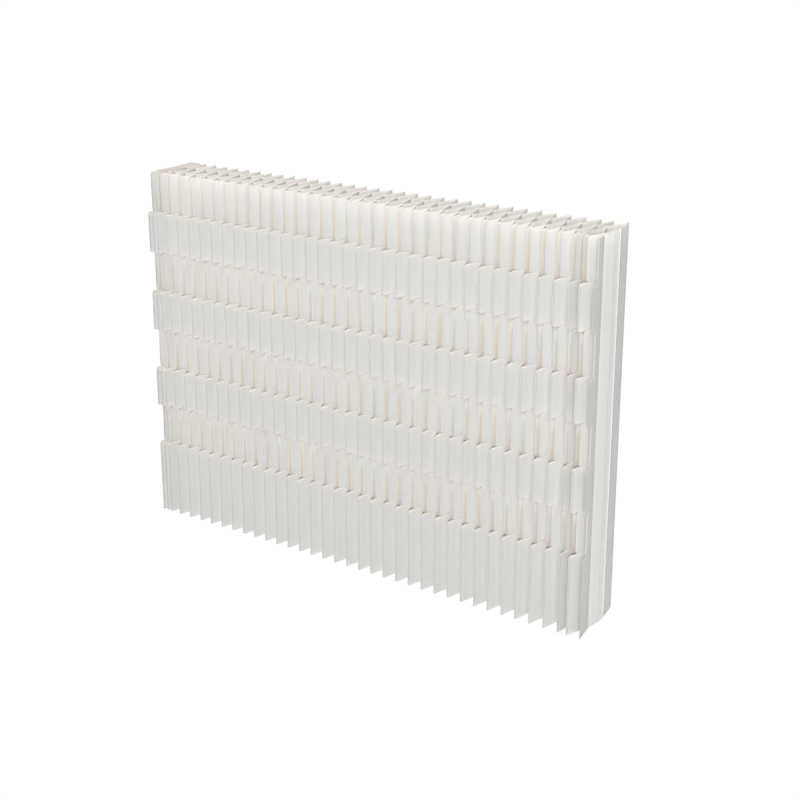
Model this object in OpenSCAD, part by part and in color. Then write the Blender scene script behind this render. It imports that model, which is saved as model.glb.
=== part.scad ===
// Pleated paper screen.
// Three zigzag sheets of paper stand one behind another and are glued along the folds
// where they touch, so that their pleats make a honeycomb that draws out and closes up.
// The front sheet is slit across its ridges. In every other band between two slits the
// ridge is folded back inwards, the others keep their plain ridge.
// X runs along the screen, the front faces -Y, and the paper stands on Z = 0.

/* [Screen] */
// Width of the screen when it is drawn right out
screen_w = 3000; // [2400:10:3600]
// Depth over the front and the back folds
screen_d = 430; // [360:5:520]
// Height of the paper
screen_h = 2200; // [2050:10:2600]

/* [Paper] */
// Thickness of the paper
paper_t = 0.4; // [0.3:0.05:0.8]
// Width of the blunt tip of a fold that is glued to the next sheet
fold_w = 5; // [4:0.5:7]
// Width of the sharper tip of a fold that is glued to nothing
free_fold_w = 2; // [1.5:0.25:4]

/* [Pleats] */
// Pleats in each of the twelve stretches of the screen
pleats_each = 3; // [2:1:4]
// Half pleats at the left end that are pressed together
pressed_steps = 5; // [1:2:9]
// Width of each of them, as a share of a regular half pleat
left_share = 0.36; // [0.34:0.02:1]
// Width of the pleat beside them, as a share of a regular one
left_next_share = 0.85; // [0.5:0.05:1]
// Width of the half pleat at the right end, as a share of a regular one
right_share = 0.55; // [0.4:0.05:1]
// Width of the half pleat beside it
right_beside_share = 1.3; // [0.5:0.1:1.5]
// Width of the pleat beside those, as a share of a regular one
right_next_share = 0.62; // [0.4:0.02:1]

/* [Front bands] */
// Bands with a ridge that is folded in
inset_bands = 4; // [2:1:4]
// Height of the topmost band, which is an inset one
top_band_h = 237; // [200:1:280]
// Height of each lower inset band
inset_band_h = 242; // [200:1:270]
// Height of each plain band, apart from the bottom one
plain_band_h = 255; // [200:1:270]
// Share of a pleat's side that is folded in with its ridge
inset_share = 0.3; // [0.2:0.02:0.4]
// Share of a pleat's side that the slits reach across
slit_share = 0.7; // [0.5:0.05:0.85]
// Height of the gap at a slit
slit_h = 1.5; // [1:0.5:6]
// Radius of the paper's corners at a slit and at the ends of a ridge
corner_r = 14; // [6:1:24]

/* [Glue] */
// Thickness of a glue line between two sheets
glue_t = 0.3; // [0.1:0.05:0.5]
// Bare paper beside a glue line, on the blunt tip of the fold
glue_margin = 0.5; // [0.25:0.25:1.5]
// Bare paper above and below a glue line
glue_end = 20; // [5:5:60]

/* [Hidden] */
sections = 12;
bases = ["front_sheet", "middle_sheet", "back_sheet", "front_glue", "back_glue"];

bands = 2 * inset_bands;
columns = 2 * sections * pleats_each + 1;
leg_d = (screen_d - 3 * paper_t - 2 * glue_t) / 3;
sheet_pitch = leg_d + paper_t + glue_t;
front_y = paper_t / 2 - screen_d / 2;
inset_y = front_y + inset_share * leg_d;
inset_tip_y = front_y + 2 * inset_share * leg_d;
slit_y = front_y + slit_share * leg_d;
// From here backwards, as a share of a pleat's side, the sheet's bands are all alike
shared_from = slit_share - 0.05;
clear = 1;
round_fn = 64;

// A fold line, or column, stands at every half pleat. Column 0 is a valley of the front
// sheet and the last column is a ridge. A whole pleat is two half pleats.
function step_share(i) =
    i < pressed_steps ? left_share
    : i < pressed_steps + 2 ? left_next_share
    : i == columns - 1 ? right_share
    : i == columns - 2 ? right_beside_share
    : i >= columns - 4 ? right_next_share
    : 1;
shares = [for (i = 0, sum = 0; i <= columns; sum = sum + step_share(i), i = i + 1) sum];
function column_x(c) = screen_w * (shares[c] / shares[columns] - 0.5);

// The screen is split at valley folds of the front sheet, which stand at even columns
function first_column(k) = 2 * (k - 1) * pleats_each;
function last_column(k) = k == sections ? columns : 2 * k * pleats_each;

// Sheets count from 0 at the front. A sheet's folds lie at its front and its back in turn.
function is_front(sheet, c) = (c + sheet) % 2 == 1;
function sheet_y(sheet) = front_y + sheet * sheet_pitch;
function fold_y(sheet, c) = sheet_y(sheet) + (is_front(sheet, c) ? 0 : leg_d);
function is_free(sheet, c) = sheet == (is_front(sheet, c) ? 0 : 2);
function tip_w(sheet, c) = is_free(sheet, c) ? free_fold_w : fold_w;

// A band's upper edge. Band 0 is at the top, and the bottom band takes what is left.
function band_top(i) =
    i == bands ? 0
    : screen_h - (i > 0 ? top_band_h : 0) - floor(i / 2) * plain_band_h
      - max(0, ceil(i / 2) - 1) * inset_band_h;

function node_name(base, k) = str(base, "_", k < 10 ? "0" : "", k);

// The sheet's middle line round a plain fold. A section's first and last fold is halved.
function plain_fold(sheet, c, has_left, has_right) =
    let (x = column_x(c), y = fold_y(sheet, c), half = tip_w(sheet, c) / 2) [
        if (has_left) [x - half, y],
        if (!has_left || !has_right) [x, y],
        if (has_right) [x + half, y]
    ];

// The distance from a ridge of the front sheet to a point on its side, which runs from
// the ridge's tip to the next glued fold
function side_x(c, side, share) =
    free_fold_w / 2
    + share * (abs(column_x(c + side) - column_x(c)) - free_fold_w / 2 - fold_w / 2);
function shared_point(c, side) =
    [column_x(c) + side * side_x(c, side, shared_from), front_y + shared_from * leg_d];

// The same round a ridge that is folded in: a crease where the side turns inwards, the
// tip of the inverted ridge, and the crease on its other side. At the screen's right-hand
// end the paper stops at the crease.
function crease_x(c, side) = side_x(c, side, inset_share);
function crease_w(c, side) = min(free_fold_w / 2, crease_x(c, side) / 3);
function inset_half(c, side) = [
    [column_x(c) + side * crease_w(c, side) / 2, inset_tip_y],
    [column_x(c) + side * (crease_x(c, side) - crease_w(c, side)), inset_y],
    [column_x(c) + side * crease_x(c, side), inset_y]
];
function reversed(list) = [for (i = [len(list) - 1:-1:0]) list[i]];
function inset_fold(c, has_right) =
    has_right ? concat(reversed(inset_half(c, -1)), inset_half(c, 1)) : [inset_half(c, -1)[2]];

// A ridge of the front sheet with the sides that lead up to it
function ridge(c, inset, has_right) = concat(
    [shared_point(c, -1)],
    inset ? inset_fold(c, has_right) : plain_fold(0, c, true, has_right),
    has_right ? [shared_point(c, 1)] : []
);

// The middle line of one sheet from a section's first column to its last
function sheet_path(sheet, k, inset) = [
    for (c = [first_column(k):last_column(k)])
        let (left = c > first_column(k), right = c < last_column(k))
        each sheet == 0 && is_front(sheet, c) ? ridge(c, inset, right)
            : plain_fold(sheet, c, left, right)
];

function left_of(v) = [-v.y, v.x] / norm(v);
function mitre(a, b) = (a + b) / (1 + a * b);
function offset_at(path, i) =
    i == 0 ? left_of(path[1] - path[0])
    : i == len(path) - 1 ? left_of(path[i] - path[i - 1])
    : mitre(left_of(path[i] - path[i - 1]), left_of(path[i + 1] - path[i]));

module paper_outline(path) {
    left = [for (i = [0:len(path) - 1]) path[i] + offset_at(path, i) * paper_t / 2];
    right = [for (i = [0:len(path) - 1]) path[i] - offset_at(path, i) * paper_t / 2];
    polygon(concat(left, reversed(right)));
}

module band(i, k) {
    translate([0, 0, band_top(i + 1)])
        linear_extrude(band_top(i) - band_top(i + 1))
            paper_outline(sheet_path(0, k, i % 2 == 0));
}

// A bar along the section that rounds the paper's corner at depth y. The paper lies
// behind y, and above z where up is 1 or below it where up is -1.
module corner_cut(k, y, z, up) {
    x = column_x(first_column(k)) - clear;
    translate([x, y - paper_t / 2, z])
        rotate([90, 0, 90])
            linear_extrude(column_x(last_column(k)) + clear - x)
                difference() {
                    translate([-clear, up > 0 ? -clear : -corner_r])
                        square([corner_r + clear, corner_r + clear]);
                    translate([corner_r, up * corner_r])
                        circle(corner_r, $fn = round_fn);
                }
}

module slit(k, z) {
    x = column_x(first_column(k)) - clear;
    translate([x, front_y - paper_t, z - slit_h / 2])
        cube([column_x(last_column(k)) + clear - x, slit_y - front_y + paper_t, slit_h]);
}

module front_sheet(k) {
    color("#e9e7e3")
        difference() {
            union() {
                for (i = [0:bands - 1]) band(i, k);
            }
            for (i = [1:bands - 1]) slit(k, band_top(i));
            for (i = [0:bands - 1]) {
                y = i % 2 == 0 ? inset_y : front_y;
                top_gap = i == 0 ? 0 : slit_h / 2;
                bottom_gap = i == bands - 1 ? 0 : slit_h / 2;
                corner_cut(k, y, band_top(i) - top_gap, -1);
                corner_cut(k, y, band_top(i + 1) + bottom_gap, 1);
            }
        }
}

module plain_sheet(sheet, k) {
    linear_extrude(screen_h)
        paper_outline(sheet_path(sheet, k, false));
}

module middle_sheet(k) {
    color("#e4e3df") plain_sheet(1, k);
}

module back_sheet(k) {
    color("#e6e5e2") plain_sheet(2, k);
}

// Glue lines behind one sheet, one at each fold that touches the next sheet. The glue
// at a fold between two sections belongs to the section on its left.
module glue_lines(sheet, k) {
    y = sheet_y(sheet) + leg_d + paper_t / 2;
    half_w = fold_w / 2 - glue_margin;
    start = k == 1 ? 0 : first_column(k) + 1;
    for (c = [start:last_column(k)])
        if (!is_front(sheet, c)) {
            left = max(column_x(c) - half_w, -screen_w / 2);
            right = min(column_x(c) + half_w, screen_w / 2);
            translate([left, y, glue_end])
                cube([right - left, glue_t, screen_h - 2 * glue_end]);
        }
}

module front_glue(k) {
    color("#f2ead9") glue_lines(0, k);
}

module back_glue(k) {
    color("#f2ead9") glue_lines(1, k);
}

for (k = [1:sections]) {
    front_sheet(k);
    middle_sheet(k);
    back_sheet(k);
    front_glue(k);
    back_glue(k);
}
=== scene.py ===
import math

import bmesh
import bpy
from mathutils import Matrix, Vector, noise


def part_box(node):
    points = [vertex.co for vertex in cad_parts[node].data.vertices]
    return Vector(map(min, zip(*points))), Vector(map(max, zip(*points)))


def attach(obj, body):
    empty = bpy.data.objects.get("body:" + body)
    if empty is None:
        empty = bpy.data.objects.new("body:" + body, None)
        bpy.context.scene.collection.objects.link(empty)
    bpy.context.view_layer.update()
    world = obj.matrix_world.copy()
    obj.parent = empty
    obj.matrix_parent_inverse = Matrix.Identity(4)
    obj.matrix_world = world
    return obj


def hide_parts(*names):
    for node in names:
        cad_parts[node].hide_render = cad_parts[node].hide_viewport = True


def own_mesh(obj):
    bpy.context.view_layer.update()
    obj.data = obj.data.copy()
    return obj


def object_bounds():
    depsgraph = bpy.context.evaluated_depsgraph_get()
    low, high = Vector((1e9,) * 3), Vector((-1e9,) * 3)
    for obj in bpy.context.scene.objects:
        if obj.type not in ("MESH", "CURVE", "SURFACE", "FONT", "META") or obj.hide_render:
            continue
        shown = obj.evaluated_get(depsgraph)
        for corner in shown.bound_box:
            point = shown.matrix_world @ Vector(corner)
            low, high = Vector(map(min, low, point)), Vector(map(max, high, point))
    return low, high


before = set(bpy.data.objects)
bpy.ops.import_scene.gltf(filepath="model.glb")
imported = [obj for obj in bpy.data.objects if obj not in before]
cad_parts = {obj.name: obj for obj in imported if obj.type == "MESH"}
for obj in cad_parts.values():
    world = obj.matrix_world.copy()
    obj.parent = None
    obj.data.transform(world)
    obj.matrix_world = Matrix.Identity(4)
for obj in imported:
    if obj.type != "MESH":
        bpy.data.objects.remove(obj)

mm = 0.001
hair = 0.01 * mm  # places closer together than this are the same
cadBox = [list(corner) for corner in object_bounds()]
screenLow, screenHigh = (Vector(corner) for corner in cadBox)
screenHeight = screenHigh.z - screenLow.z

pleating = {
    "sections": 12,
    "pleatsEach": 3,
    "pressedSteps": 5,  # half pleats at the left end that are pressed together
    "leftShare": 0.36,  # their width, as a share of a regular half pleat
    "leftNextShare": 0.85,
    "rightShare": 0.55,  # the half pleat at the right end
    "rightBesideShare": 1.3,
    "rightNextShare": 0.62,
    "gluedTip": 5 * mm,  # a fold that is glued to the next sheet is blunt
    "freeTip": 2 * mm,
    "gluedRound": 1.5 * mm,
    "freeRound": 0.6 * mm,
    "paper": 0.4 * mm,
}
columnCount = 2 * pleating["sections"] * pleating["pleatsEach"] + 1


def stepShare(step):
    if step < pleating["pressedSteps"]:
        return pleating["leftShare"]
    if step < pleating["pressedSteps"] + 2:
        return pleating["leftNextShare"]
    if step == columnCount - 1:
        return pleating["rightShare"]
    if step == columnCount - 2:
        return pleating["rightBesideShare"]
    if step >= columnCount - 4:
        return pleating["rightNextShare"]
    return 1


def foldColumns():
    # where the fold lines stand along the screen
    places = [0]
    for step in range(columnCount):
        places.append(places[-1] + stepShare(step))
    width = screenHigh.x - screenLow.x
    return [screenLow.x + width * place / places[-1] for place in places]


columns = foldColumns()


def isFront(sheet, column):
    return (column + sheet) % 2 == 1


def isFree(sheet, column):
    return sheet == (0 if isFront(sheet, column) else 2)


def sheetLines(base):
    # the depths of a sheet's front and back folds, read from the frame
    low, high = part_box(f"{base}_01")
    return low.y + pleating["paper"] / 2, high.y - pleating["paper"] / 2


bands = {
    # from the top, in mm; the first one is inset, and then they alternate
    "heights": [237, 255, 242, 255, 242, 255, 242, 472],
    "insetShare": 0.3,  # of a pleat's side, folded in with its ridge
    "slitShare": 0.7,
    "slitGap": 1.5 * mm,
    "corner": 14 * mm,
    "cornerReach": 34 * mm,  # rows this near a slit follow the round corner
    "tongue": 13 * mm,  # how far a turned-in ridge hangs down into the plain one below it
    "tongueFrom": 2 * mm,  # it does so between these distances from its creases
    "tongueTo": 13 * mm,
    "lip": 3 * mm,  # how far an upper cut edge is pressed back
    "lipHeight": 8 * mm,
    "lipEase": 14 * mm,  # over which it dies out towards folds and slit ends
}
# What the paper's material reads from the front sheet, and in part from the others. Each
# mark is a number from 0 to 1 at every point, and each has a colour of its own. Most marks
# are painted light and shade; the paler cut edges are partly the paper's own.
marks = ("cutEdge", "crease", "recessPaintedBounce", "end", "ridge", "valley")
reaches = {
    "fade": 0.3,  # the last share of a reach, over which a mark dies out
    # paler cut edges, partly painted highlight, and painted light near the tops of the sheets
    "cutEdge": 12 * mm,  # down from an upper cut edge
    "frontTop": 15 * mm,  # down from the top of the front sheet, behind its slits
    "innerTop": 12 * mm,  # and of the other sheets
    "lowerEnd": 7 * mm,  # up from the lower end of a turned-in ridge
    "lastCrease": 20 * mm,  # back from the creases that are cut, at the right-hand end
    "crease": 6 * mm,  # back from a crease, and from a plain ridge
    # how far the painted shade reaches behind a plain ridge
    "ridge": 12 * mm,
    "underRidge": 90 * mm,  # down a turned-in ridge, which is painted paler under the plain one, against its shade
    "underRidgeShare": 0.8,
    "recessPaintedBounceTop": 0.4,  # the painted warm bounce on a turned-in ridge grows downwards, from this share at its top
    "recessPaintedBounceFrom": 1.2 * mm,
    "deepFrom": 0.3,  # the painted light deep in the pleats sets in between these shares of a side
    "deepTo": 0.6,
    "deepShare": 0.35,  # how strong it gets there, as a share of the pressed pleats'
    "lastShare": 0.2,  # and on the last two half pleats
}
waves = {
    "sway": 1.6 * mm,  # how far fold lines stray sideways
    "swayPerMetre": (9, 1.3),  # how often they do, along the screen and upwards
    "fineSway": 0.4,  # a share of the sway, at a finer grain
    "fineSwayPerMetre": (31, 3.1),
    "calmEnd": 20 * mm,  # the sway dies out this near the screen's ends
    "bulge": 1.4 * mm,  # how far a side is from flat
    "bulgePerMetre": (17, 2.3),
    "bulgeShift": 40,  # so that no two sheets bulge alike
}
endTab = {  # the middle sheet's last side, bent where its tab starts
    "from": 0.62,
    "bend": 3.5 * mm,
}


def bandEdges():
    edges = [screenHigh.z]
    for height in bands["heights"]:
        edges.append(edges[-1] - height * mm)
    return edges


def clamp(value):
    return min(1, max(0, value))


def fade(distance, reach):
    # 1 near an edge, falling to 0 over the last part of its reach
    return clamp((reach - distance) / (reaches["fade"] * reach))


def scoreAlong(bm, places, axis):
    # cuts the mesh in two at each place along an axis, and keeps both sides
    normal = Vector(axis)
    for place in places:
        bmesh.ops.bisect_plane(bm, geom=bm.verts[:] + bm.edges[:] + bm.faces[:], dist=1e-6,
                               plane_co=normal * place, plane_no=normal)


def zigzag(sheet, frontLine, backLine):
    # one sheet's outline in plan with round folds, drawn up to the screen's height
    bm = bmesh.new()
    for name in marks:
        bm.verts.layers.float.new(name)
    path = []
    corners = {True: [], False: []}
    for column, x in enumerate(columns):
        free = isFree(sheet, column)
        y = frontLine if isFront(sheet, column) else backLine
        for side in (-1, 1):
            place = x + side * pleating["freeTip" if free else "gluedTip"] / 2
            if column == 0 and side < 0 or column == columnCount and side > 0:
                place = x
            path.append(bm.verts.new((place, y, screenLow.z)))
            corners[free].append(path[-1])
    for a, b in zip(path, path[1:]):
        bm.edges.new((a, b))
    for free, offset in ((True, pleating["freeRound"]), (False, pleating["gluedRound"])):
        inner = [v for v in corners[free] if v not in (path[0], path[-1])]
        bmesh.ops.bevel(bm, geom=inner, offset=offset, offset_type="OFFSET", segments=3,
                        profile=0.5, affect="VERTICES", material=-1)
    drawn = bmesh.ops.extrude_edge_only(bm, edges=bm.edges[:])["geom"]
    bmesh.ops.translate(bm, verts=[v for v in drawn if isinstance(v, bmesh.types.BMVert)],
                        vec=(0, 0, screenHeight))
    bmesh.ops.recalc_face_normals(bm, faces=bm.faces[:])

    def fromFrontTip(face):
        return abs(face.normal.x) + abs(face.calc_center_median().y - frontLine)

    if min(bm.faces, key=fromFrontTip).normal.y > 0:
        bmesh.ops.reverse_faces(bm, faces=bm.faces[:])
    return bm


def ripple(x, z, perMetre, seed):
    # a smooth, slow wave that never repeats, from -1 to 1
    return noise.noise((x * perMetre[0], z * perMetre[1], seed))


def swayAt(x, z):
    # how far a fold strays sideways; it dies out at the screen's ends
    sway = ripple(x, z, waves["swayPerMetre"], 5)
    sway += waves["fineSway"] * ripple(x, z, waves["fineSwayPerMetre"], 11)
    fromEnd = min(x - screenLow.x, screenHigh.x - x)
    return waves["sway"] * sway * clamp(fromEnd / waves["calmEnd"])


def ruffle(bm, sheet, frontLine, backLine):
    # Hand-folded paper is never quite straight. Fold lines sway alike in all three
    # sheets, so that they still meet, and each side bulges by itself.
    bm.normal_update()
    moves = []
    perMetre = waves["bulgePerMetre"]
    for v in bm.verts:
        x, y, z = v.co
        share = clamp((y - frontLine) / (backLine - frontLine))
        along = x * perMetre[0] + waves["bulgeShift"] * sheet
        bulge = noise.noise((along, z * perMetre[1], 23))
        bulge *= math.sin(math.pi * share) * waves["bulge"]
        moves.append(Vector((swayAt(x, z), 0, 0)) + v.normal * bulge)
    for v, move in zip(bm.verts, moves):
        v.co += move


plainGrid = {
    "rows": 32,
    "nearTop": (3, 7, 12, 17),  # mm
    "shares": (0.2, 0.4, 0.6, endTab["from"], 0.64, 0.8),  # of a side
}


def plainSheet(sheet, base):
    frontLine, backLine = sheetLines(base)
    bm = zigzag(sheet, frontLine, backLine)
    count = plainGrid["rows"]
    rows = [screenHeight * row / count for row in range(1, count)]
    rows += [screenHeight - d * mm for d in plainGrid["nearTop"]]
    scoreAlong(bm, rows, (0, 0, 1))
    depths = [frontLine + (backLine - frontLine) * share for share in plainGrid["shares"]]
    scoreAlong(bm, depths, (0, 1, 0))
    layers = {name: bm.verts.layers.float[name] for name in marks}
    for v in bm.verts:
        # painted light near the top, which brightens the cells seen from above
        v[layers["cutEdge"]] = fade(screenHigh.z - v.co.z, reaches["innerTop"])
    if sheet == 1:
        start = endTab["from"]
        for v in bm.verts:
            share = (v.co.y - frontLine) / (backLine - frontLine)
            if v.co.x > columns[-2] and 0 < share < 1:
                v.co.x += endTab["bend"] * min(share / start, (1 - share) / (1 - start))
                # a line of painted shade where the tab's bend starts
                v[layers["ridge"]] = 1 if abs(share - start) < 0.01 else 0
    return bm


slitGrid = {
    "nearEdge": (0, 2, 4.5, 7, 9.5, 13, 20, 34),  # mm from a cut edge
    "row": 60 * mm,  # about the height of a row between those
    "fromRidge": (0.7, 2, 4, 7, 10, 14),  # mm behind a plain ridge
    "fromCrease": (-14, -10, -6, -3.5, -1.2, 0, 1.2, 3.5, 6, 10, 14),  # mm behind a crease
    "turnedIn": 0.24,  # a share of a side, near the tip of a turned-in ridge
}


def slitSpans():
    # the lower and the upper edge of each band, with the slits between them left out
    edges = bandEdges()
    gap = bands["slitGap"] / 2
    return [(edges[i + 1] + (gap if i < len(edges) - 2 else 0), edges[i] - (gap if i else 0))
            for i in range(len(edges) - 1)]


def bandAt(z, spans):
    return next((i for i, (low, high) in enumerate(spans) if low - hair < z < high + hair), None)


def slitRows(spans):
    # the heights of the mesh's rows, which are dense near the cut edges
    near = [d * mm for d in slitGrid["nearEdge"]]
    rows = []
    for low, high in spans:
        rows += [low + d for d in near] + [high - d for d in near]
        inner = high - low - 2 * near[-1]
        count = max(2, round(inner / slitGrid["row"]))
        rows += [low + near[-1] + inner * i / count for i in range(1, count)]
    return [z for z in rows if hair < z < screenHigh.z - hair]


def hangs(turnedIn):
    # the share of the tongue at this distance from a crease, easing in and out
    share = (turnedIn - bands["tongueFrom"]) / (bands["tongueTo"] - bands["tongueFrom"])
    share = clamp(share)
    return share * share * (3 - 2 * share)


def shapeBands(bm, layers, spans, frontLine, insetLine, slitLine):
    # Turns the ridges of every other band in, rounds the corners of all bands and sets most
    # marks, most of which paint light and shade. Returns how far each point is below the upper
    # edge of its paper.
    fromTop = {}
    for v in bm.verts:
        fromTop[v] = screenHigh.z - v.co.z
        index = bandAt(v.co.z, spans)
        if v.co.y > slitLine - hair or index is None:
            continue
        low, high = spans[index]
        inset = index % 2 == 0
        turnedIn = insetLine - v.co.y if inset else 0
        fromTop[v] = high - v.co.z
        if turnedIn > 0:
            v.co.y = insetLine + turnedIn
            # painted warm bounce light on the turned-in walls, stronger downwards
            bounceWarmth = reaches["recessPaintedBounceTop"] + (1 - reaches["recessPaintedBounceTop"]) * fromTop[v] / (high - low)
            v[layers["recessPaintedBounce"]] = bounceWarmth * min(1, turnedIn / reaches["recessPaintedBounceFrom"])
        depth = v.co.y - (insetLine if inset else frontLine)
        # a painted highlight behind each crease of a turned-in ridge, and painted shade behind
        # each plain ridge
        mark = "crease" if inset else "ridge"
        v[layers[mark]] = fade(depth, reaches[mark])
        # painted light under the plain ridge above, against the shadow it casts
        if turnedIn > 0 and index:
            underRidgeLight = reaches["underRidgeShare"] * fade(fromTop[v], reaches["underRidge"])
            v[layers["crease"]] = max(v[layers["crease"]], underRidgeLight)
        # painted highlight on the cut creases at the right-hand end
        if inset and v.co.x > columns[-2]:
            v[layers["cutEdge"]] = fade(depth, reaches["lastCrease"])
        left = max(0, bands["corner"] - depth)
        lift = bands["corner"] - math.sqrt(bands["corner"] ** 2 - left ** 2)
        fromBottom = v.co.z - low
        near = min(fromBottom, fromTop[v])
        if near < bands["cornerReach"]:
            away = 1 if near < fromTop[v] else -1
            if away > 0 and turnedIn > 0:
                lift -= bands["tongue"] * hangs(turnedIn)
                # a painted highlight at the lower end of a turned-in ridge
                v[layers["cutEdge"]] = fade(near, reaches["lowerEnd"])
            v.co.z += away * lift * (1 - near / bands["cornerReach"])
    return fromTop


def pressBack(bm, spans, fromTop, frontLine, insetLine, slitLine):
    # upper cut edges are pressed back a little
    bm.normal_update()
    moves = []
    for v in bm.verts:
        near = max(0, 1 - fromTop[v] / bands["lipHeight"])
        index = bandAt(v.co.z, spans)
        foldLine = frontLine if index is None or index % 2 else insetLine
        fromFold = clamp((v.co.y - foldLine) / bands["lipEase"])
        fromSlitEnd = clamp((slitLine - v.co.y) / bands["lipEase"])
        moves.append(-v.normal * bands["lip"] * near ** 2 * fromFold * fromSlitEnd)
    for v, move in zip(bm.verts, moves):
        v.co += move


def slitSheet(sheet, base):
    frontLine, backLine = sheetLines(base)
    leg = backLine - frontLine
    insetLine = frontLine + bands["insetShare"] * leg
    slitLine = frontLine + bands["slitShare"] * leg
    spans = slitSpans()
    bm = zigzag(sheet, frontLine, backLine)
    scoreAlong(bm, slitRows(spans), (0, 0, 1))
    depths = [frontLine + d * mm for d in slitGrid["fromRidge"]]
    depths += [insetLine + d * mm for d in slitGrid["fromCrease"]]
    depths += [insetLine - bands["tongueTo"], insetLine - slitGrid["turnedIn"] * leg,
               (insetLine + slitLine) / 2, slitLine, (slitLine + backLine) / 2]
    scoreAlong(bm, depths, (0, 1, 0))

    def isCutAway(face):
        # the slits, and the half ridge at the right-hand end that would be turned in
        x, y, z = face.calc_center_median()
        index = bandAt(z, spans)
        if index is None:
            return y < slitLine
        return index % 2 == 0 and y < insetLine and x > columns[-2]

    bmesh.ops.delete(bm, geom=[face for face in bm.faces if isCutAway(face)], context="FACES")
    layers = {name: bm.verts.layers.float[name] for name in marks}
    fromTop = shapeBands(bm, layers, spans, frontLine, insetLine, slitLine)
    for v in bm.verts:
        # paler cut edges, and painted light down the tops of the sheets behind the slits
        reach = reaches["frontTop" if v.co.y > slitLine - hair else "cutEdge"]
        v[layers["cutEdge"]] = max(v[layers["cutEdge"]], fade(fromTop[v], reach))
        # painted light deep in the pleats, full on the pressed ones at the left end, against
        # their shade
        deep = (v.co.y - frontLine) / leg - reaches["deepFrom"]
        deep = clamp(deep / (reaches["deepTo"] - reaches["deepFrom"]))
        if v.co.x < columns[pleating["pressedSteps"]]:
            v[layers["valley"]] = 1
        elif v.co.x > columns[-3]:
            v[layers["valley"]] = reaches["lastShare"]
        else:
            v[layers["valley"]] = reaches["deepShare"] * deep
        v[layers["end"]] = 1 if v.co.x > columns[-2] else 0
    pressBack(bm, spans, fromTop, frontLine, insetLine, slitLine)
    return bm


glue = {
    "width": 4 * mm,
    "thickness": 0.3 * mm,
    "end": 20 * mm,
    "rows": 44,
    "wobble": 0.35 * mm,
    "wobblePerMetre": (700, 40),
    "blotch": 12 * mm,
    "roughness": 0.6,
    "darkColour": "#e6dcc6",
    "paleColour": "#f4ecdc",
}


def glueRow(sheet, base):
    # beads of glue on the folds where this sheet's back touches the next one
    low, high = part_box(f"{base}_02")
    bm = bmesh.new()
    height = screenHeight - 2 * glue["end"]
    for column, x in enumerate(columns):
        if isFront(sheet, column):
            continue
        halves = [-glue["width"] / 2, glue["width"] / 2]
        if column == 0:
            halves[0] = 0
        if column == columnCount:
            halves[1] = 0
        bead = [bm.verts.new((x + half, (low.y + high.y) / 2, glue["end"])) for half in halves]
        edge = bm.edges.new(bead)
        drawn = bmesh.ops.extrude_edge_only(bm, edges=[edge])["geom"]
        bmesh.ops.translate(bm, verts=[v for v in drawn if isinstance(v, bmesh.types.BMVert)],
                            vec=(0, 0, height))
    scoreAlong(bm, [glue["end"] + height * row / glue["rows"] for row in range(1, glue["rows"])],
               (0, 0, 1))
    for v in bm.verts:
        x, y, z = v.co
        v.co.x += swayAt(x, z) + glue["wobble"] * ripple(x, z, glue["wobblePerMetre"], 3)
    bmesh.ops.recalc_face_normals(bm, faces=bm.faces[:])
    return bm


def sectionSpan(section):
    first = 2 * (section - 1) * pleating["pleatsEach"]
    last = columnCount if section == pleating["sections"] else first + 2 * pleating["pleatsEach"]
    return columns[first], columns[last]


seam = 0.04 * mm  # between two sections, so that their ends never rub
sharpFrom = 48  # degrees; edges that turn more than this stay sharp


def thicken(piece, thickness):
    # gives the sheet its thickness on both sides, as a finished mesh
    shell = piece.modifiers.new("thickness", "SOLIDIFY")
    shell.thickness = thickness
    shell.offset = 0
    shell.use_rim = True
    shell.material_offset = len(piece.data.materials) - 1
    graph = bpy.context.evaluated_depsgraph_get()
    finished = bpy.data.meshes.new_from_object(piece.evaluated_get(graph))
    piece.modifiers.clear()
    piece.data = finished
    finished.name = piece.name
    finished.shade_smooth()
    finished.set_sharp_from_angle(angle=math.radians(sharpFrom))


def keepSide(bm, x, side):
    # cuts away all that lies beyond a plane across the screen
    bmesh.ops.bisect_plane(bm, geom=bm.verts[:] + bm.edges[:] + bm.faces[:], dist=1e-7,
                           plane_co=(x, 0, 0), plane_no=(side, 0, 0), clear_outer=True)


def cutIntoPieces(whole, name, base, materials, thickness, beyond=0, shape=None):
    # one piece for each section of the screen, cut where the sections meet; a second
    # material is for the back of the sheet, painted paler as painted light inside the pleats
    for section in range(1, pleating["sections"] + 1):
        node = f"{base}_{section:02d}"
        low, high = sectionSpan(section)
        bm = whole.copy()
        if section > 1:
            keepSide(bm, low + beyond + seam / 2, -1)
        if section < pleating["sections"]:
            keepSide(bm, high + beyond - seam / 2, 1)
        if shape:
            shape(bm)
        mesh = bpy.data.meshes.new(f"{name}_{section:02d}")
        bm.to_mesh(mesh)
        bm.free()
        for material in materials:
            mesh.materials.append(material)
        piece = bpy.data.objects.new(mesh.name, mesh)
        bpy.context.scene.collection.objects.link(piece)
        thicken(piece, thickness)
        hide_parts(node)
        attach(piece, f"section_{section:02d}")
        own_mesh(piece)
    whole.free()
    print(f"{name} made")


def linear(colour):
    # an sRGB hex value as linear red, green, blue and alpha
    parts = [int(colour[i:i + 2], 16) / 255 for i in (1, 3, 5)]
    return [p / 12.92 if p <= 0.04045 else ((p + 0.055) / 1.055) ** 2.4 for p in parts] + [1]


def addNode(tree, kind, settings=None, links=None):
    node = tree.nodes.new(kind)
    for key, value in (settings or {}).items():
        if isinstance(key, int) or key in node.inputs:
            node.inputs[key].default_value = value
        else:
            setattr(node, key, value)
    for key, source in (links or {}).items():
        tree.links.new(source, node.inputs[key])
    return node


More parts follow.
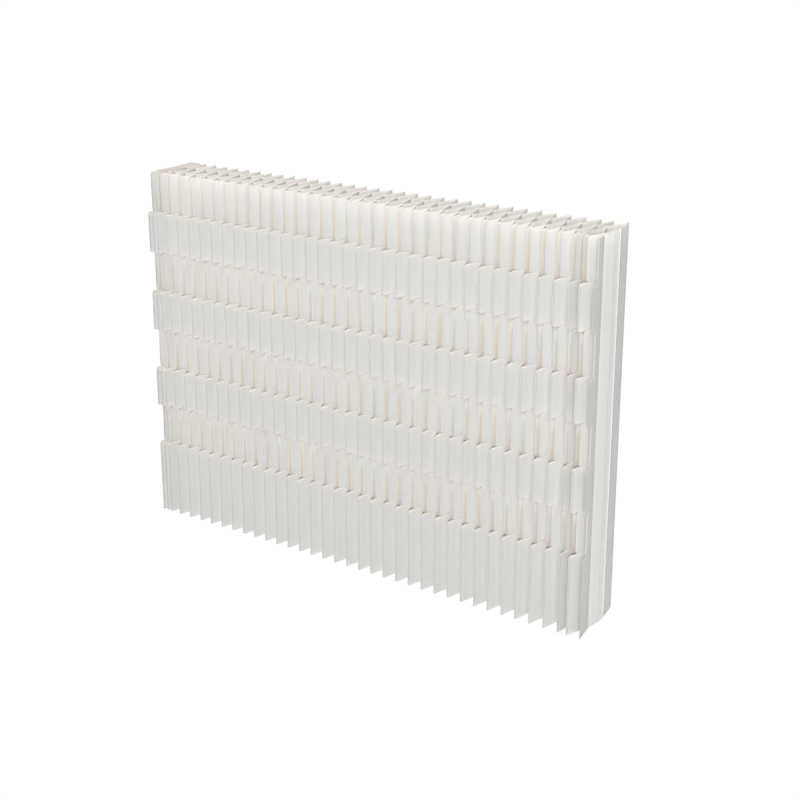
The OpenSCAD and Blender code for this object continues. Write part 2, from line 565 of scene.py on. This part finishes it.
def newMaterial(name):
    material = bpy.data.materials.new(name)
    material.use_nodes = True
    material.node_tree.nodes.clear()
    return material, material.node_tree


craftPaper = {
    "fibre": 3 * mm,  # real fibres are under 1 mm; drawn coarser so that they show
    "fibreRun": (1, 1, 0.25),  # the noise is drawn out upwards
    "mottle": 70 * mm,
    "mottleFrom": 0.6,
    "mottleTo": 1.4,
    "roughness": 0.88,
    "sheen": 0.25,
    "relief": 0.25 * mm,
    "reliefStrength": 0.35,
    "glow": 0.7,  # thin paper lets some light through
    "soak": 2 * mm,
    "ridgeColour": "#d8d6d2",  # painted shade behind a plain ridge, where the paper lies double and lets less light through
    "valleyColour": "#fbfaf7",  # painted light deep in the pleats, and in the pressed ones at the left end, against their shade
    "recessPaintedBounceColour": "#e8e0d6",  # painted warm bounce light on the walls of the folded-in ridges, as light goes from wall to wall
    "endColour": "#cfcecb",  # the last half pleat, which is handled most and looks greyer
    # painted highlight along the creases, and painted light on turned-in ridges under the plain
    # ones
    "creaseColour": "#fbf6ee",
    # paler cut edges, partly painted highlight, and painted light near the tops
    "cutColour": "#fff4e8",
}


def makePaper(name, colour, shade):
    # uncoated craft paper: matt, faintly mottled, with short fibres and paler cut edges, and with
    # marks that paint light and shade into its colour
    material, tree = newMaterial(name)
    place = addNode(tree, "ShaderNodeTexCoord").outputs["Object"]
    mottle = addNode(tree, "ShaderNodeTexNoise", {"Scale": 1 / craftPaper["mottle"], "Detail": 3},
                     {"Vector": place})
    upright = addNode(tree, "ShaderNodeMapping", {"Scale": craftPaper["fibreRun"]},
                      {"Vector": place})
    fibre = addNode(tree, "ShaderNodeTexNoise",
                    {"Scale": 1 / craftPaper["fibre"], "Detail": 4, "Roughness": 0.65},
                    {"Vector": upright.outputs["Vector"]})
    both = addNode(tree, "ShaderNodeMath", {"operation": "ADD"},
                   {0: mottle.outputs["Fac"], 1: fibre.outputs["Fac"]})
    level = addNode(tree, "ShaderNodeMapRange",
                    {"From Min": craftPaper["mottleFrom"], "From Max": craftPaper["mottleTo"]},
                    {"Value": both.outputs["Value"]})
    tone = addNode(tree, "ShaderNodeMix",
                   {"data_type": "RGBA", 6: linear(shade), 7: linear(colour)},
                   {0: level.outputs["Result"]})
    # each mark lays its colour over the tone; most of them are painted light or painted shade
    for mark in reversed(marks):
        markLevel = addNode(tree, "ShaderNodeAttribute", {"attribute_name": mark})
        markColour = craftPaper[mark.replace("Edge", "") + "Colour"]
        tone = addNode(tree, "ShaderNodeMix", {"data_type": "RGBA", 7: linear(markColour)},
                       {0: markLevel.outputs["Fac"], 6: tone.outputs[2]})
    bump = addNode(tree, "ShaderNodeBump",
                   {"Strength": craftPaper["reliefStrength"], "Distance": craftPaper["relief"]},
                   {"Height": fibre.outputs["Fac"]})
    surface = addNode(tree, "ShaderNodeBsdfPrincipled",
                      {"Roughness": craftPaper["roughness"],
                       "IOR": 1.5,
                       "Specular IOR Level": craftPaper["sheen"],
                       "Subsurface Weight": craftPaper["glow"],
                       "Subsurface Scale": craftPaper["soak"],
                       "Subsurface Radius": (1, 1, 1)},
                      {"Base Color": tone.outputs[2], "Normal": bump.outputs["Normal"]})
    addNode(tree, "ShaderNodeOutputMaterial", None, {"Surface": surface.outputs["BSDF"]})
    return material


def makeGlue(name):
    # dried white glue: dull cream, slightly uneven along the bead
    material, tree = newMaterial(name)
    place = addNode(tree, "ShaderNodeTexCoord").outputs["Object"]
    blotch = addNode(tree, "ShaderNodeTexNoise", {"Scale": 1 / glue["blotch"], "Detail": 2},
                     {"Vector": place})
    tone = addNode(tree, "ShaderNodeMix",
                   {"data_type": "RGBA",
                    6: linear(glue["darkColour"]),
                    7: linear(glue["paleColour"])},
                   {0: blotch.outputs["Fac"]})
    surface = addNode(tree, "ShaderNodeBsdfPrincipled",
                      {"Roughness": glue["roughness"], "IOR": 1.47},
                      {"Base Color": tone.outputs[2]})
    addNode(tree, "ShaderNodeOutputMaterial", None, {"Surface": surface.outputs["BSDF"]})
    return material


papers = [
    # the front sheet's back is a paler copy of its paper: painted light against the shade inside
    # the pleats
    ("frontPaper", "front_sheet", "front_paper",
     [makePaper("craftPaperFront", "#e9e8e5", "#e5e4e1"),
      makePaper("craftPaperInnerPaintedLight", "#faf8f3", "#f7f5f0")]),
    # the middle sheet's paper is paler than the others: painted light on its last side at the
    # right-hand end
    ("middlePaper", "middle_sheet", "middle_paper",
     [makePaper("craftPaperMiddlePaintedLight", "#f8f6f0", "#f4f2ec")]),
    ("backPaper", "back_sheet", "back_paper",
     [makePaper("craftPaperBack", "#e9e8e5", "#e5e4e0")]),
]
for sheet, (name, base, slot, materials) in enumerate(papers):
    whole = slitSheet(sheet, base) if sheet == 0 else plainSheet(sheet, base)
    cutIntoPieces(whole, name, base, materials, pleating["paper"],
                  shape=lambda bm: ruffle(bm, sheet, *sheetLines(base)))

gluePaste = makeGlue("driedGlue")
for sheet, (name, base) in enumerate([("frontGlue", "front_glue"), ("backGlue", "back_glue")]):
    cutIntoPieces(glueRow(sheet, base), name, base, [gluePaste], glue["thickness"],
                  beyond=glue["width"])


def seenRays(tree):
    # 1 for rays from the camera, mirrors and glass, which see the plain backdrop
    seen = addNode(tree, "ShaderNodeLightPath")
    direct = addNode(tree, "ShaderNodeMath", {"operation": "MAXIMUM"},
                     {0: seen.outputs["Is Camera Ray"], 1: seen.outputs["Is Glossy Ray"]})
    either = addNode(tree, "ShaderNodeMath", {"operation": "MAXIMUM"},
                     {0: direct.outputs["Value"], 1: seen.outputs["Is Transmission Ray"]})
    return either.outputs["Value"]


stage = {
    "halfWidth": 60,  # of the floor, in metres
    "colour": "#f4f4f3",
    "plainShare": 0.96,  # how far the camera sees even light in place of the lit floor
    "plainStrength": 1.04,
    "skyStrength": 0.33,
}


def makeStage():
    # a plain pale floor that shows nearly white and keeps the screen's soft shadow
    bm = bmesh.new()
    bmesh.ops.create_grid(bm, x_segments=1, y_segments=1, size=stage["halfWidth"])
    mesh = bpy.data.meshes.new("floor")
    bm.to_mesh(mesh)
    bm.free()
    floor = bpy.data.objects.new("floor", mesh)
    bpy.context.scene.collection.objects.link(floor)
    material, tree = newMaterial("paleFloor")
    share = addNode(tree, "ShaderNodeMath", {"operation": "MULTIPLY", 1: stage["plainShare"]},
                    {0: seenRays(tree)})
    matt = addNode(tree, "ShaderNodeBsdfDiffuse", {"Color": linear(stage["colour"])})
    glow = addNode(tree, "ShaderNodeEmission",
                   {"Color": (1, 1, 1, 1), "Strength": stage["plainStrength"]})
    mixed = addNode(tree, "ShaderNodeMixShader", None,
                    {0: share.outputs["Value"],
                     1: matt.outputs["BSDF"],
                     2: glow.outputs["Emission"]})
    addNode(tree, "ShaderNodeOutputMaterial", None, {"Surface": mixed.outputs["Shader"]})
    mesh.materials.append(material)


def makeWorld():
    # even light from all round, seen as plain white behind the screen
    world = bpy.data.worlds.new("studio")
    bpy.context.scene.world = world
    world.use_nodes = True
    tree = world.node_tree
    tree.nodes.clear()
    level = addNode(tree, "ShaderNodeMapRange", {"To Min": stage["skyStrength"], "To Max": 1},
                    {"Value": seenRays(tree)})
    sky = addNode(tree, "ShaderNodeBackground", {"Color": (1, 1, 1, 1)},
                  {"Strength": level.outputs["Result"]})
    addNode(tree, "ShaderNodeOutputWorld", None, {"Surface": sky.outputs["Background"]})


lamps = {
    "keyLight": {"azimuth": 24, "elevation": 22, "distance": 26, "size": 13, "power": 5950},
    "backLight": {"azimuth": 200, "elevation": 25, "distance": 26, "size": 13, "power": 4000},
}
lampTarget = Vector((0, 0, 1.1))


def outwards(azimuth, elevation):
    # azimuth counts in degrees from straight in front of the screen to its right
    a, e = math.radians(azimuth), math.radians(elevation)
    return Vector((math.sin(a) * math.cos(e), -math.cos(a) * math.cos(e), math.sin(e)))


def makeLamp(name, azimuth, elevation, distance, size, power):
    # a square soft box
    lamp = bpy.data.lights.new(name, "AREA")
    lamp.shape = "SQUARE"
    lamp.size = size
    lamp.energy = power
    holder = bpy.data.objects.new(name, lamp)
    bpy.context.scene.collection.objects.link(holder)
    away = outwards(azimuth, elevation)
    holder.location = lampTarget + away * distance
    holder.rotation_euler = away.to_track_quat("Z", "Y").to_euler()


view = {
    "place": (4.45, -6.34, 3.86),
    "azimuth": 33.8,
    "elevation": 17.1,
    "focal": 1418,  # in pixels of the photograph's 800
    "frame": 800,
    "axisAbove": 80,  # pixels from the picture's middle up to the lens axis
    "sensor": 36,  # the sensor's width in mm, and below how far the lens sees in metres
    "farthest": 200,
}


def makeCamera():
    camera = bpy.data.cameras.new("camera")
    camera.sensor_width = view["sensor"]
    camera.lens = view["focal"] * camera.sensor_width / view["frame"]
    camera.shift_y = -view["axisAbove"] / view["frame"]
    camera.clip_end = view["farthest"]
    holder = bpy.data.objects.new("camera", camera)
    bpy.context.scene.collection.objects.link(holder)
    back = outwards(view["azimuth"], view["elevation"])
    holder.location = view["place"]
    holder.rotation_euler = (-back).to_track_quat("-Z", "Y").to_euler()
    bpy.context.scene.camera = holder


makeStage()
makeWorld()
for name, lamp in lamps.items():
    makeLamp(name, **lamp)
makeCamera()
bpy.context.scene.view_settings.view_transform = "Standard"
print("stage, light and camera made")
